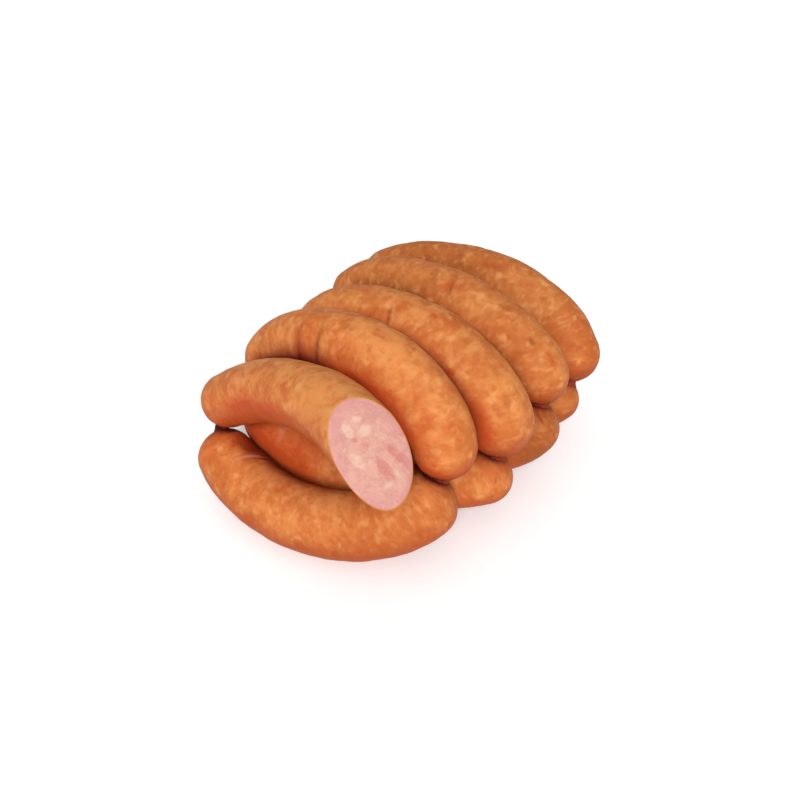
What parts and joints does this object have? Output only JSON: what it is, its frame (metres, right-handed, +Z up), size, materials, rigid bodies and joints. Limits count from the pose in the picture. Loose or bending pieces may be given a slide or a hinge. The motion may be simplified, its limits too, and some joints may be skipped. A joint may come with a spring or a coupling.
{
  "type": "string of sausage links",
  "caption": "String of thick smoked sausage links folded into two layers of bowed links joined by casing twists, the first link cut on the slant to show its pink meat.",
  "frame": {"origin": "on the surface that the string lies on, under the middle of its bounding box", "axes": "+X along the links towards the cut end, +Y across the links from the cut link to the last one, +Z up"},
  "size_m": [0.1644, 0.1975, 0.1048],
  "materials": {
    "casing": "smoked natural casing, orange-brown with paler blotches, satin",
    "meat": "cut cooked sausage meat, pink with pale fat and darker chunks, moist matte",
    "twisted_casing": "twisted empty casing, dark red-brown, satin"
  },
  "bodies": {
    "root": {"cut_link_casing": "casing", "cut_link_meat": "meat", "link_2": "casing", "link_3": "casing", "link_4": "casing", "link_5": "casing", "link_6": "casing", "link_7": "casing", "link_8": "casing", "link_9": "casing", "twist_1_2": "twisted_casing", "twist_2_3": "twisted_casing", "twist_3_4": "twisted_casing", "twist_4_5": "twisted_casing", "twist_5_6": "twisted_casing", "twist_6_7": "twisted_casing", "twist_7_8": "twisted_casing", "twist_8_9": "twisted_casing", "tail": "twisted_casing"}
  },
  "joints": []
}
